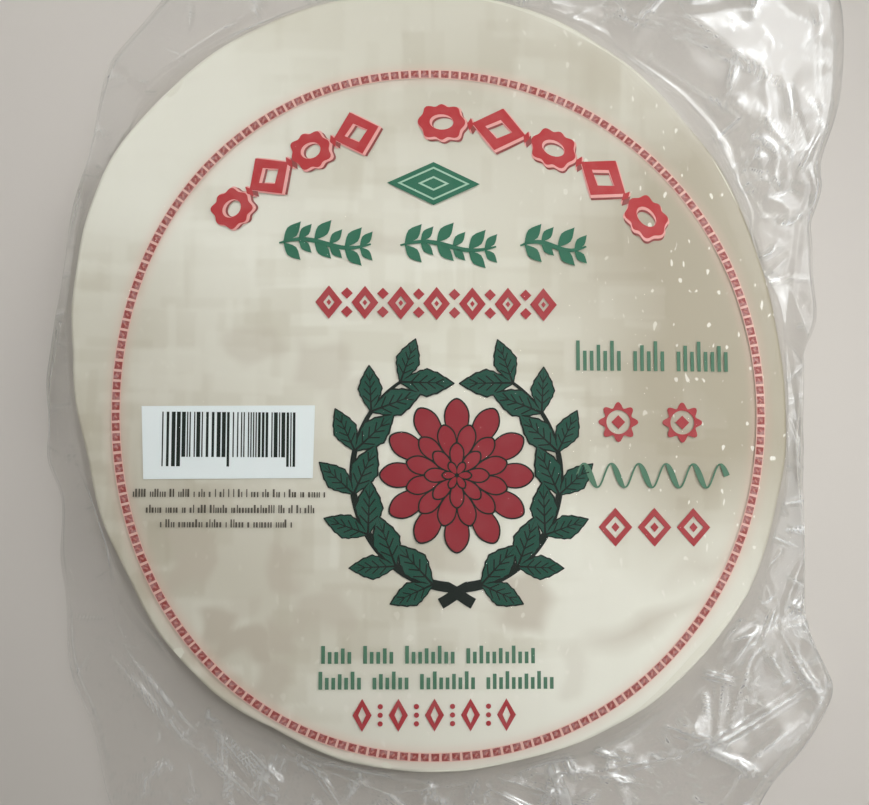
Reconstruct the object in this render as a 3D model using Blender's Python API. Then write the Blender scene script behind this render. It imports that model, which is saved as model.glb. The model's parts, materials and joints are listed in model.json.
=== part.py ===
"""A flat pack of round rice paper wrappers in a loose clear film bag.

Metres, +Z up. The pack lies on z = 0 with its printed side up, and its box is centred on the origin.
The sealed bag is one closed solid: the low drum of the stacked sheets, the film that falls from the
drum's rim, and the loose crumpled film that lies round it.
"""

from math import cos, degrees, pi, radians, sin

import bmesh
import bpy
from mathutils import Vector

# The stack of sheets: 22 cm paper, a little oval and a little square, as it dries on its mats.
STACK_CENTRE = Vector((-0.0087, 0.0035))
SHEET_RADIUS = 0.1100
OVAL_REACH = 0.0055
OVAL_TURN = radians(102)
SQUARE_REACH = 0.00125
SQUARE_TURN = radians(58)

# The film over the stack.
FILM_TOP = 0.0190
RIM_DROP = 0.0006
RIM_ROUNDING = 0.0009
RIM_SHARPNESS = 36
TOP_WAVE = 0.0003
WAVES_ROUND = 3

# The film between the stack's rim and the surface that the pack lies on.
FALL_WIDTH = 0.0085
FALL_POWER = 1.8

# The loose film round the stack: two layers with air between them.
EDGE_THICKNESS = 0.0012
LOOSE_RISE = 0.0016
PLEAT_RISE = 0.0016
PLEATS_ROUND = 19
PLEAT_SWAY = 1.6

# Corners of the bag where the film stands up: direction and half width in degrees, and rise.
LIFTED_CORNERS = (
    (48, 16, 0.0052),
    (-42, 13, 0.0036),
    (128, 12, 0.0024),
    (228, 13, 0.0028),
)

# The bag's edge in millimetres, anticlockwise: the corners where its straight runs meet.
EDGE_CORNERS = (
    (104, -2), (106, 13), (110, 22), (108, 55), (115, 63), (112, 72), (118, 86),
    (121, 107), (121, 126), (115, 134), (72, 131), (30, 134), (-24, 131), (-78, 134),
    (-90, 118), (-98, 108), (-105, 99), (-108, 87), (-114, 47), (-119, 5), (-121, -20),
    (-116, -31), (-116, -51), (-114, -68), (-111, -88), (-104, -104), (-100, -121),
    (-94, -133), (-46, -131), (8, -134), (52, -131), (84, -134), (92, -117),
    (103, -104), (111, -87), (104, -71), (104, -42), (103, -26),
)
MM = 0.001
CORNER_ROUNDING = radians(1.2)

# The mesh: spokes round the centre, and rings at shares of the stack's radius and of the margin.
SPOKES = 192
STACK_RINGS = (0.12, 0.34, 0.55, 0.74, 0.88, 0.955, 0.982, 1.0)
MARGIN_RINGS = (0.07, 0.16, 0.27, 0.39, 0.52, 0.66, 0.82, 1.0)

FILM_COLOUR = (0.66, 0.65, 0.56, 1.0)
FILM_ROUGHNESS = 0.22
SMOOTH_ANGLE = radians(40)


def clear_scene():
    """Removes what the start-up scene holds."""
    for thing in list(bpy.data.objects):
        bpy.data.objects.remove(thing)


def film_material():
    """Clear glossy film over cream sheets, seen as one surface."""
    material = bpy.data.materials.new("film")
    material.use_nodes = True
    shader = material.node_tree.nodes["Principled BSDF"]
    shader.inputs["Base Color"].default_value = FILM_COLOUR
    shader.inputs["Roughness"].default_value = FILM_ROUGHNESS
    shader.inputs["Metallic"].default_value = 0.0
    return material


def direction(angle):
    """The unit vector at an angle."""
    return Vector((cos(angle), sin(angle)))


def stack_reach(angle):
    """From the stack's centre to the sheets' rim."""
    oval = OVAL_REACH * cos(2 * (angle - OVAL_TURN))
    square = SQUARE_REACH * cos(4 * (angle - SQUARE_TURN))
    return SHEET_RADIUS + oval + square


def straight_reach(angle):
    """From the stack's centre to the straight runs of the bag's edge."""
    ray = direction(angle)
    corners = [Vector(corner) * MM - STACK_CENTRE for corner in EDGE_CORNERS]
    reach = 0.0
    for here, there in zip(corners, corners[1:] + corners[:1]):
        run = there - here
        facing = ray.cross(run)
        if facing <= 0:
            continue
        along_run = here.cross(ray) / facing
        if 0 <= along_run <= 1:
            reach = max(reach, here.cross(run) / facing)
    return reach


def edge_reach(angle):
    """From the stack's centre to the bag's edge, with its corners rounded a little."""
    turns = (-CORNER_ROUNDING, 0.0, CORNER_ROUNDING)
    return sum(straight_reach(angle + turn) for turn in turns) / len(turns)


def angle_between(a, b):
    """The angle from one direction to another, without sign, in degrees."""
    turn = degrees(a - b) % 360
    return min(turn, 360 - turn)


def corner_lift(angle):
    """How far the loose film stands up near the bag's corners."""
    lift = 0.0
    for middle, half_width, rise in LIFTED_CORNERS:
        off = angle_between(angle, radians(middle)) / half_width
        if off < 1:
            lift += rise * cos(off * pi / 2) ** 2
    return lift


def film_height_on_stack(angle, share):
    """The film's height over the sheets at a share of the stack's radius."""
    wave = TOP_WAVE * share**2 * cos(WAVES_ROUND * angle)
    return FILM_TOP - RIM_DROP * share**4 - RIM_ROUNDING * share**RIM_SHARPNESS + wave


def film_height_past_rim(angle, share, margin):
    """The film's height between the stack's rim and the bag's edge, at a share of that margin."""
    pleat = 0.5 + 0.5 * cos(PLEATS_ROUND * angle + PLEAT_SWAY * sin(WAVES_ROUND * angle))
    swell = sin(pi * share)
    loose = EDGE_THICKNESS + LOOSE_RISE * (1 - share) + swell * (PLEAT_RISE * pleat + corner_lift(angle))
    still_to_fall = max(0.0, 1 - share * margin / FALL_WIDTH) ** FALL_POWER
    return loose + still_to_fall * (film_height_on_stack(angle, 1.0) - loose)


def ring_points(share, past_rim):
    """The points of one ring, one for each spoke."""
    points = []
    for spoke in range(SPOKES):
        angle = 2 * pi * spoke / SPOKES
        reach = stack_reach(angle)
        if past_rim:
            margin = edge_reach(angle) - reach
            height = film_height_past_rim(angle, share, margin)
            reach += share * margin
        else:
            height = film_height_on_stack(angle, share)
            reach *= share
        spot = STACK_CENTRE + reach * direction(angle)
        points.append(Vector((spot.x, spot.y, height)))
    return points


def next_ring(mesh, edges, points):
    """Extrudes the open edge and moves the new corners to the given points, in spoke order."""
    out = bmesh.ops.extrude_edge_only(mesh, edges=edges)["geom"]
    corners = [part for part in out if isinstance(part, bmesh.types.BMVert)]
    for corner in corners:
        corner.co = points[spoke_of(corner.co)]
    return [part for part in out if isinstance(part, bmesh.types.BMEdge)]


def spoke_of(place):
    """The number of the spoke that a corner lies on."""
    from_centre = place.to_2d() - STACK_CENTRE
    turn = from_centre.angle_signed(Vector((1, 0)), 0.0)
    return round(turn / (2 * pi) * SPOKES) % SPOKES


def film_bag():
    """The bag with its stack: a disc whose rim is extruded ring by ring, then down and closed."""
    mesh = bmesh.new()
    bmesh.ops.create_circle(mesh, cap_ends=True, cap_tris=True, segments=SPOKES, radius=STACK_RINGS[0])
    middle = min(mesh.verts, key=lambda corner: corner.co.length)
    rim = [edge for edge in mesh.edges if edge.is_boundary]
    bmesh.ops.translate(mesh, verts=mesh.verts, vec=STACK_CENTRE.to_3d())
    first = ring_points(STACK_RINGS[0], past_rim=False)
    for corner in mesh.verts:
        if corner is not middle:
            corner.co = first[spoke_of(corner.co)]
    middle.co = (STACK_CENTRE.x, STACK_CENTRE.y, FILM_TOP)
    for share in STACK_RINGS[1:]:
        rim = next_ring(mesh, rim, ring_points(share, past_rim=False))
    for share in MARGIN_RINGS:
        rim = next_ring(mesh, rim, ring_points(share, past_rim=True))
    foot = [Vector((point.x, point.y, 0.0)) for point in ring_points(1.0, past_rim=True)]
    rim = next_ring(mesh, rim, foot)
    bmesh.ops.contextual_create(mesh, geom=rim)
    bmesh.ops.recalc_face_normals(mesh, faces=mesh.faces)
    centre_on_origin(mesh)
    data = bpy.data.meshes.new("film_bag")
    mesh.to_mesh(data)
    mesh.free()
    data.shade_smooth()
    data.set_sharp_from_angle(angle=SMOOTH_ANGLE)
    data.materials.append(film_material())
    bag = bpy.data.objects.new("film_bag", data)
    bpy.context.scene.collection.objects.link(bag)
    return bag


def centre_on_origin(mesh):
    """Slides the mesh level, so that the middle of its box is over the origin."""
    wide = [corner.co.x for corner in mesh.verts]
    long = [corner.co.y for corner in mesh.verts]
    middle = Vector(((min(wide) + max(wide)) / 2, (min(long) + max(long)) / 2, 0.0))
    bmesh.ops.translate(mesh, verts=mesh.verts, vec=-middle)


clear_scene()
film_bag()
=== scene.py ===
# %% [markdown]
# # A flat pack of round rice paper wrappers
#
# Three dozen thin cream sheets lie in a neat round pile. A loose bag of clear, shiny film is shut
# round them, and the film over the sheets carries a print in red and green ink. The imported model
# holds the pack as one closed solid, because nobody can reach inside a sealed bag. This notebook
# takes that solid apart again for the eye: first the film as a thin closed skin, then the sheets
# inside it, then the print on the inner face of the film.

import json
from math import atan2, cos, pi, radians, sin, tau

import bmesh
import bpy
import numpy as np
from mathutils import Matrix, Vector
from mathutils.bvhtree import BVHTree


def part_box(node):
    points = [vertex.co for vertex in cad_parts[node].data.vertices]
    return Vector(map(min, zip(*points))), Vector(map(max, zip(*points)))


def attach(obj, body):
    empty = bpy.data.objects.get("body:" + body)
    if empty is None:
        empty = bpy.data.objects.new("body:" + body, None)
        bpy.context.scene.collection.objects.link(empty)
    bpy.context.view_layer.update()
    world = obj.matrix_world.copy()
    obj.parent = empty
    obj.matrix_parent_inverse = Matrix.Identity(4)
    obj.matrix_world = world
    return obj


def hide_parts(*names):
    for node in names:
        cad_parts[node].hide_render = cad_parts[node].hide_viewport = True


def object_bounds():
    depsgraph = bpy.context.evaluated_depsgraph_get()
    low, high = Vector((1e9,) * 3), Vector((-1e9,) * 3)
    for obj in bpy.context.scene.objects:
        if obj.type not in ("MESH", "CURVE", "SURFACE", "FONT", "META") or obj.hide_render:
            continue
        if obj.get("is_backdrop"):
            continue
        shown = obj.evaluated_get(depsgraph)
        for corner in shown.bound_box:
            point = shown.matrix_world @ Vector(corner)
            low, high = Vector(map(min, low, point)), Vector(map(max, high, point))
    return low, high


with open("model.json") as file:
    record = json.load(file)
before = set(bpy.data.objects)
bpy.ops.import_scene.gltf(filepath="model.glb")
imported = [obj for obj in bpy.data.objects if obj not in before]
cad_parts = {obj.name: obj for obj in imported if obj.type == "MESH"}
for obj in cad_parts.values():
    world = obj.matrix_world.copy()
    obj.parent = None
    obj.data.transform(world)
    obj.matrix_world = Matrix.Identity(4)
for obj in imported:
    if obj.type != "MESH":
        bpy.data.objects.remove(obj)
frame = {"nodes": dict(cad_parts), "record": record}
cad_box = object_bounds()
MM = 0.001
print("the packed pack measures", [round(side / MM, 1) for side in cad_box[1] - cad_box[0]], "mm")

# %% [markdown]
# ## The camera
#
# The pack is seen almost straight from above, from about half a metre, leaning a little to its left
# and to its foot. A camera that is aimed with a tracking constraint would roll about its own axis as
# soon as it leans two ways at once, so its three axes are worked out: `back` points from
# the pack to the camera, and the pack's +Y stays upright in the picture.

# %% Camera
SEEN_POINT = Vector((-8.3, -5.9, 19.1)) * MM
SEEN_FROM = 489.5 * MM
LEAN_LEFT = radians(4.0)
LEAN_DOWN = radians(6.4)
LENS_MM = 70.45


def add_camera():
    back = Vector((-sin(LEAN_LEFT), -sin(LEAN_DOWN), 0))
    back.z = (1 - back.length_squared) ** 0.5
    up = (Vector((0, 1, 0)) - back * back.y).normalized()
    right = up.cross(back)
    camera = bpy.data.objects.new("camera", bpy.data.cameras.new("camera"))
    axes = Matrix((right, up, back)).transposed().to_4x4()
    camera.matrix_world = Matrix.Translation(SEEN_POINT + back * SEEN_FROM) @ axes
    camera.data.lens = LENS_MM
    camera.data.clip_start = 0.01
    bpy.context.scene.collection.objects.link(camera)
    bpy.context.scene.camera = camera
    return camera


print("camera at", [round(c / MM) for c in add_camera().matrix_world.translation], "mm")

# %% [markdown]
# ## Reading the pack's outlines
#
# Everything below hangs on two outlines: the rim of the pile and the outer edge of the bag. They
# could be typed in again, but then the looks and the solid could drift apart. Rays shot sideways
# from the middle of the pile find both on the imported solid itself: high up they meet the film at
# the pile's rim, and just over the ground they meet the bag's edge. A copy of the solid is welded
# first, because the loaded one is loose triangles. Afterwards both outlines are eased by up to a
# few millimetres, because the real pile is a little less round than the solid.

# %% Helpers: rays and directions
UP = Vector((0, 0, 1))
WELD = 0.001 * MM
MIDDLE = Vector(frame["record"]["mounts"][0]["pos_m"])


def tree_of(mesh):
    """A ray target made from a welded copy of a mesh."""
    bm = bmesh.new()
    bm.from_mesh(mesh)
    bmesh.ops.remove_doubles(bm, verts=bm.verts, dist=WELD)
    tree = BVHTree.FromBMesh(bm)
    bm.free()
    return tree


def heading(angle):
    return Vector((cos(angle), sin(angle), 0))


def places_at(reach, angles):
    """Points at a reach and an angle from the pile's middle."""
    return MIDDLE.x + reach * np.cos(angles), MIDDLE.y + reach * np.sin(angles)


def reach_and_angle(x, y):
    """How far each point lies from the pile's middle, and in which direction."""
    return np.hypot(x - MIDDLE.x, y - MIDDLE.y), np.arctan2(y - MIDDLE.y, x - MIDDLE.x)


def by_direction(table, angles):
    """Reads a table of (degrees, amount) round the pack."""
    return np.interp(np.degrees(angles) % 360, *np.array(table).T, period=360)


def round_mean(values, reach, axis=-1):
    """A running mean that closes on itself."""
    shifts = range(-reach, reach + 1)
    return sum(np.roll(values, shift, axis) for shift in shifts) / len(shifts)


print("middle of the pile", [round(c / MM, 1) for c in MIDDLE], "mm")

# %% Outlines of the pile and of the bag
SPOKES = 1240
RIM_LEVEL = 0.915
EDGE_LEVEL = 0.03
SMOOTHED_OVER = 3
PACK_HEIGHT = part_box("film_bag")[1].z
spoke_angles = np.arange(SPOKES) / SPOKES * tau
solid = tree_of(frame["nodes"]["film_bag"].data)


def measured_reach(level):
    start = MIDDLE + UP * PACK_HEIGHT * level
    hits = [solid.ray_cast(start, heading(angle))[3] for angle in spoke_angles]
    return round_mean(np.array(hits), SMOOTHED_OVER)


def reach_at(table, angles):
    return np.interp(np.asarray(angles) % tau, spoke_angles, table, period=tau)


# How far the pile's rim and the bag's edge lie outside the solid's: degrees and millimetres.
RIM_EASE = ((0, 0), (60, 0), (90, 0.5), (120, 0.1), (150, 0.9), (172, 0.5), (195, -0.3), (236, 0),
            (246, -1.2), (257, 0.4), (272, 0.3), (288, 1.2), (302, 2.0), (318, 1.2), (335, 0))
EDGE_EASE = ((0, 0), (308, 0), (313, 1.0), (319, 2.4), (323, 3.8), (325, 1.0), (330, 0))
rim_reach = measured_reach(RIM_LEVEL)
edge_reach = measured_reach(EDGE_LEVEL)
pile_reach = rim_reach + MM * by_direction(RIM_EASE, spoke_angles)
bag_reach = edge_reach + MM * by_direction(EDGE_EASE, spoke_angles)
print("pile", round(rim_reach.mean() / MM, 1), "mm, bag", round(edge_reach.mean() / MM, 1), "mm")

# %% [markdown]
# ## A closed skin of rings
#
# Film and sheet are both thin round things with a fine surface, so one helper makes them. It starts
# from a flat grid, whose columns become spokes and whose rows become rings, from the middle of the
# top, out over the rim, and back to the middle of the underside. Bending a grid like this keeps the
# rings even, which a subdivided disc would not. Afterwards the seam and the two middles are welded,
# so that the skin is closed. Every piece rides on the pack's only body and takes the place of the
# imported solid.

# %% Helpers: pieces, and a closed skin from rings
def new_object(name, bm, material):
    """Turns a bmesh into an object of one material, at the origin."""
    mesh = bpy.data.meshes.new(name)
    bm.to_mesh(mesh)
    bm.free()
    mesh.materials.append(material)
    made = bpy.data.objects.new(name, mesh)
    bpy.context.scene.collection.objects.link(made)
    return made


def finish_piece(name, bm, material, smooth=True):
    """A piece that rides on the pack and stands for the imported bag."""
    piece = new_object(name, bm, material)
    if smooth:
        piece.data.shade_smooth()
    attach(piece, "root")
    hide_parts("film_bag")
    print(name, len(piece.data.polygons), "faces")


def ring_skin(x, y, z, traits):
    """A closed bmesh from arrays of rings by spokes. traits holds named numbers for each point."""
    rings, spokes = x.shape
    bm = bmesh.new()
    bmesh.ops.create_grid(bm, x_segments=spokes, y_segments=rings - 1, size=0.5)
    mesh = bpy.data.meshes.new("skin")
    bm.to_mesh(mesh)
    flat = np.zeros(len(mesh.vertices) * 3)
    mesh.vertices.foreach_get("co", flat)
    column = np.rint((flat[0::3] + 0.5) * spokes).astype(int) % spokes
    row = np.rint((flat[1::3] + 0.5) * (rings - 1)).astype(int)
    placed = np.stack([x[row, column], y[row, column], z[row, column]], 1)
    mesh.vertices.foreach_set("co", placed.ravel())
    for label, numbers in traits.items():
        layer = mesh.attributes.new(label, "FLOAT", "POINT")
        layer.data.foreach_set("value", numbers[row, column].astype(np.float32))
    bm.clear()
    bm.from_mesh(mesh)
    bpy.data.meshes.remove(mesh)
    bmesh.ops.remove_doubles(bm, verts=bm.verts, dist=WELD)
    bmesh.ops.recalc_face_normals(bm, faces=bm.faces)
    return bm


# %% [markdown]
# ## Folds in film
#
# Crumpled film is not a soft noise. It is stiff, so it stays flat between sharp creases, like a
# cut stone. A grid with its points thrown about, lifted and cut into triangles is just such a
# surface, and rays shot down on it read its height anywhere. The largest of these surfaces are
# sheets of long plates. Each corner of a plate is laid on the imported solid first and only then
# lifted a little by luck, so the bag keeps its shape at large and is broken up between the corners.
# Small facets and a fine crackle are added where the real bag is crumpled. The first number that
# these helpers take is always the seed of their luck, so every run gives the same bag.

# %% Helpers: random plates and facets
PILE_RADIUS = 110 * MM
FIELD_SIDE = 360 * MM
JITTER = 0.46
ABOVE = 1.0


def cast_down(tree, x, y):
    """The height of the surface under each point."""
    heights = np.zeros(x.size)
    for i, (px, py) in enumerate(zip(x.ravel(), y.ravel())):
        hit = tree.ray_cast(Vector((px, py, ABOVE)), -UP)[0]
        heights[i] = hit.z if hit else 0.0
    return heights.reshape(x.shape)


def plates(seed, width, stretch, lie, lift, x, y):
    """Heights of flat triangles, `stretch` times as long as wide along the direction `lie`.

    lift gives the height of each corner from its place and a random number between 0 and 1.
    """
    rng = np.random.default_rng(seed)
    cells = int(FIELD_SIDE / width)
    bm = bmesh.new()
    bmesh.ops.create_grid(bm, x_segments=cells, y_segments=cells, size=FIELD_SIDE / 2)
    for vert in bm.verts:
        u, v = Vector(vert.co.xy) + Vector(rng.uniform(-JITTER, JITTER, 2)) * width
        place = (u * stretch * cos(lie) - v * sin(lie), u * stretch * sin(lie) + v * cos(lie))
        vert.co = (u, v, lift(*place, rng.uniform(0, 1)))
    bmesh.ops.triangulate(bm, faces=bm.faces, quad_method="SHORT_EDGE")
    tree = BVHTree.FromBMesh(bm)
    bm.free()
    return cast_down(tree, (x * cos(lie) + y * sin(lie)) / stretch, y * cos(lie) - x * sin(lie))


def facets(seed, width, x, y):
    """Heights between 0 and 1 of a surface of flat triangles about `width` wide."""
    return plates(seed, width, 1, 0, lambda px, py, luck: luck * width, x, y) / width


middle_height = cast_down(solid, np.array([MIDDLE.x]), np.array([MIDDLE.y]))[0]
print("the solid is", round(middle_height / MM, 1), "mm high over the middle of the pile")

# %% [markdown]
# A long fold is a plain tent with straight sides, since a rounded fold looks like gel and not like
# film. Soft swells are sums of cosine waves that run in random directions.

# %% Helpers: long folds, soft waves and ramps
def tent(x, y, fold):
    """A straight fold: full height on its middle line, nothing at its sides and ends."""
    cx, cy, turn, length, width, height = fold
    along = (x - cx) * cos(turn) + (y - cy) * sin(turn)
    across = (y - cy) * cos(turn) - (x - cx) * sin(turn)
    ends = np.clip(1 - np.abs(along) / (length / 2), 0, 1) ** 0.6
    return height * ends * np.clip(1 - np.abs(across) / width, 0, 1)


def tents(x, y, folds):
    """Each fold of a table that is in millimetres and degrees."""
    for fx, fy, turn, *sizes in folds:
        yield tent(x, y, (fx * MM, fy * MM, radians(turn), *(size * MM for size in sizes)))


def waves(seed, length, x, y, count=14):
    """Soft random swells about `length` from crest to crest, mostly between -1 and 1."""
    rng = np.random.default_rng(seed)
    total = np.zeros(x.shape)
    for _ in range(count):
        turn = rng.uniform(0, tau)
        pitch = length * rng.uniform(0.7, 1.6)
        total += np.cos((x * cos(turn) + y * sin(turn)) * tau / pitch + rng.uniform(0, tau))
    return total * (2 / count) ** 0.5 / 1.4


def waves_round(seed, length, angles):
    """Waves that close on themselves round the pile."""
    return waves(seed, length, PILE_RADIUS * np.cos(angles), PILE_RADIUS * np.sin(angles))


def ramp(value, start, end):
    """0 before start, 1 after end, smooth between."""
    share = np.clip((value - start) / (end - start), 0, 1)
    return share * share * (3 - 2 * share)


# %% [markdown]
# ## The film
#
# The film clings to the pile with hardly a wrinkle, drops from its rim, and lies round it as two
# loose layers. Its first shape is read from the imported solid, so the drop, the lifted corners and
# the pleats are where the solid has them. Then come the creases: the tables below say how hard the
# loose film is crumpled in each direction, in millimetres. It is nearly smooth on the left, thrown
# into large bright facets at the top right, and finely crackled along the foot.

# %% How hard the film is crumpled in each direction
# Tables of (degrees, mm): long plates that fall to the right, plates that rise, small ones, crackle.
FALLING = ((0, 0.8), (20, 2.2), (36, 4.6), (62, 4.7), (80, 2.8), (105, 1.4), (140, 1.0), (180, 0.8),
           (205, 0.8), (235, 0.9), (262, 0.8), (290, 0.6), (345, 0.5))
RISING = ((0, 0.5), (60, 0.8), (100, 0.6), (200, 0.3), (240, 1.2), (268, 3.4), (295, 4.2), (318, 4.4),
          (340, 1.6))
SMALL = ((0, 0.4), (30, 1.0), (50, 1.2), (80, 0.9), (110, 0.4), (180, 0.20), (225, 0.25), (250, 1.3),
         (285, 1.8), (310, 1.7), (325, 1.3), (345, 0.5))
CRACKLE = ((0, 0.10), (28, 0.20), (60, 0.12), (110, 0.06), (200, 0.06), (240, 0.5), (265, 0.8),
           (290, 0.6), (315, 0.35), (345, 0.10))
PLATE_WIDTH, PLATE_STRETCH = 14 * MM, 2.3
FALLING_LIE, RISING_LIE = radians(-42), radians(33)
# The share of rising plates by direction.
RISING_SHARE = ((0, 0), (232, 0), (262, 1), (325, 1), (352, 0))
PLATE_FOOT = 0.20
PLATE_END = 0.985
PLATE_REST = 1.15 * MM
SMALL_WIDTH = 8 * MM
CRACKLE_WIDTH = 3.4 * MM

# %% [markdown]
# Some folds stand out so clearly that luck will not do. They are listed one by one: long folds, the
# places where the film is screwed up tight, the few wrinkles on the pile, and short white lines along
# folds, which are painted highlights for the glints there. At the lower right many folds meet in one hub.

# %% Folds that stand out
# Long folds: middle x and y, direction in degrees, length, half width and height, in mm.
LONG_FOLDS = (
    (-88, -92, -48, 42, 1.2, 0.75), (-88.8, -86, -51, 28, 1.1, 0.70), (-65, -106, -50, 32, 1.2, 0.75),
    (-67, -112, -42, 32, 1.2, 0.70), (-60, -109, -49, 26, 1.1, 0.70), (-100, -66, -68, 34, 2.6, 0.5),
    (-44, -109, -31, 16, 1.0, 0.9), (-30.5, -115, 62, 11, 1.0, 0.8), (-37, -109, -27, 14, 1.0, 0.7),
    (-110, -40, 96, 30, 3.0, 0.4), (-104, 20, 92, 60, 2.2, 0.35), (-96, 66, 64, 44, 2.2, 0.4),
    (-78, 103, 36, 46, 2.0, 0.5), (112, 100, 90, 56, 1.8, 0.4), (99, 4, 96, 50, 1.8, 0.4),
    (103, 42, 82, 40, 1.8, 0.4), (79, 104, -20, 34, 2.4, 0.45), (75, 81, -48, 30, 1.4, 0.5),
    (83, 70, -60, 44, 1.6, 0.45), (103, 85, -74, 28, 2.2, 0.6), (94, 92, -84, 26, 2.0, 0.40),
    (96, 80, -50, 26, 1.6, 0.5), (108, 66, 100, 30, 1.6, 0.5),
    (60, 112, -20, 40, 1.8, 0.6), (86, -98, 30, 50, 1.8, 1.1), (74, -104, 24, 30, 1.6, 0.9),
    (50, -110, 8, 34, 1.7, 1.0), (44, -114, -12, 26, 1.5, 0.9), (66, -101, -20, 14, 1.8, 1.0),
    (92, -104, 33, 30, 1.5, 0.5), (20, -116, -16, 34, 1.6, 0.9), (-8, -116, 6, 34, 1.6, 0.8),
    (-28, -115, -20, 30, 1.6, 0.8), (4, -112, 14, 22, 1.4, 0.8), (77, -90, 84, 26, 2.2, 1.0),
    (83, -88, 72, 26, 2.2, 1.0), (72, -74, 10, 26, 2.4, 0.9), (84, -76, 52, 20, 1.8, 0.8),
)
# Places where the film is screwed up tight: middle x and y, radius and amount, in mm.
SPOTS = ((93, 67, 19, 2.6), (102, 56, 12, 2.2), (88, 96, 9, 0.5), (-12, -114, 12, 2.2),
         (8, -115, 12, 2.4), (27, -115, 13, 2.4), (47, -111, 13, 2.2), (69, -102, 9, 2.2),
         (86, -89, 8, 2.0), (-70, -95, 4, 1.8), (-54, -116, 6, 2.0), (-51, -105, 5, 1.8),
         (-30, -114, 9, 1.6))
# Wrinkles in the film that lies on the pile, as the long folds.
CLING_FOLDS = (
    (51, -71, 25, 34, 3.2, 0.35), (57, -76, -54, 9, 1.0, 0.40), (31, -86, 76, 12, 1.4, 0.35),
    (36, -90, -62, 9, 1.0, 0.35), (88, 26, 62, 12, 1.2, 0.40), (84, 38, 84, 8, 0.9, 0.35),
)
# Painted highlights, short white lines for glints along folds: middle x and y, direction in degrees and
# length, in mm.
GLINT_LINES = (
    (-44, -110.6, -30, 15), (-28.8, -112.4, -81, 5), (-31, -117.3, 51, 8), (-36, -109.6, -22, 9),
    (-57, -119, 50, 4), (-54, -118, -20, 4), (-53, -120, 70, 4), (-72.5, -95, 80, 4),
    (-71, -96.5, -25, 6), (-84, -91, -50, 26), (-50, -104.5, -38, 5), (44, -113, 24, 8),
    (50, -109, 60, 6), (58, -108, -30, 6), (92, -62, 40, 5), (83, -68, 12, 7), (98, -86, 24, 8),
    (101, -80, -62, 6),
)
# Width, whiteness and grain of the painted glint lines.
GLINT_LINE_HALF_WIDTH = 0.75
GLINT_LINE_WHITE = 1.7
GLINT_LINE_GRAIN = 1.6 * MM
HUB = (94 * MM, -70 * MM)
HUB_FOLDS = 11
HUB_START = radians(100)
HUB_LENGTH = (14 * MM, 30 * MM)
SMALL_FOLDS = 170
print(len(LONG_FOLDS), "long folds,", len(SPOTS), "tight places,", len(GLINT_LINES), "white lines")

# %% [markdown]
# The film's rows run from the middle of the pile over its rim to the bag's edge, and back on the
# underside. Most of them lie in the loose film, because that is where it is creased. Its first
# height is the solid's, and the line where the falling film meets the ground is rounded off.

# %% The film's rings
STACK_RINGS = 13
LOOSE_RINGS = 60
UNDER_RINGS = 3
STEP_IN_EDGE = 0.012
INSIDE_EDGE = 0.012
EDGE_RAGGED = 0.5 * MM
SETTLINGS = 8
SETTLED_BETWEEN = (0.02, 0.95)


def ring_table():
    """Rows of (share of the pile's reach, share of the loose margin, is the row underneath)."""
    rows = [(1 - (1 - t) ** 1.5, 0, 0) for t in np.linspace(0, 1, STACK_RINGS)]
    rows += [(1, t**1.1, 0) for t in np.linspace(0, 1 - STEP_IN_EDGE, LOOSE_RINGS)[1:]]
    rows += [(1, 1, 0.5)]
    rows += [(1, 1 - STEP_IN_EDGE - t, 1) for t in np.linspace(0, 1 - STEP_IN_EDGE, UNDER_RINGS)]
    rows += [(1 - t, 0, 1) for t in np.linspace(0, 1, UNDER_RINGS)[1:]]
    return np.array(rows)


def soften_rings(base, loose):
    """Rounds off the line where the falling film meets the ground."""
    settling = (loose > SETTLED_BETWEEN[0]) & (loose < SETTLED_BETWEEN[1])
    for _ in range(SETTLINGS):
        inner, outer = np.roll(base, 1, 0), np.roll(base, -1, 0)
        base = np.where(settling, (inner + base + outer) / 3, base)
    return base


def film_plan(share, loose):
    """Where the film's points stand, and how high the solid is there."""
    ragged = EDGE_RAGGED * waves_round(41, 24 * MM, spoke_angles)
    reach = share * pile_reach + loose * (bag_reach + ragged - pile_reach)
    on_solid = share * rim_reach + loose * (edge_reach + ragged - rim_reach)
    base = cast_down(solid, *places_at(on_solid * (1 - INSIDE_EDGE * loose), spoke_angles))
    return *places_at(reach, spoke_angles), soften_rings(round_mean(base, SMOOTHED_OVER, 1), loose)


print(len(ring_table()), "rings of", SPOKES, "points")

# %% [markdown]
# The plates, facets and folds are added up. The plates' corners lie on the solid, so they replace
# its height and all the rest is laid on top.

# %% The film's plates, facets and folds
def lifted_by(table):
    """A lift for plates: each corner lies on the solid's foot, plus up to the table's millimetres."""

    def lift(px, py, luck):
        reach, angle = reach_and_angle(px, py)
        inner, outer = reach_at(rim_reach, angle), reach_at(edge_reach, angle)
        reach = np.clip(reach, inner + PLATE_FOOT * (outer - inner), PLATE_END * outer)
        foot = Vector((*places_at(reach, angle), ABOVE))
        level = max(solid.ray_cast(foot, -UP)[0].z, PLATE_REST)
        return level + luck * by_direction(table, angle) * MM

    return lift


def plated(x, y):
    """Long plates that fall to the right, and along the foot plates that rise to the right."""
    falling = plates(107, PLATE_WIDTH, PLATE_STRETCH, FALLING_LIE, lifted_by(FALLING), x, y)
    rising = plates(15, PLATE_WIDTH, PLATE_STRETCH, RISING_LIE, lifted_by(RISING), x, y)
    turned = by_direction(RISING_SHARE, spoke_angles)
    return falling * (1 - turned) + rising * turned


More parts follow.
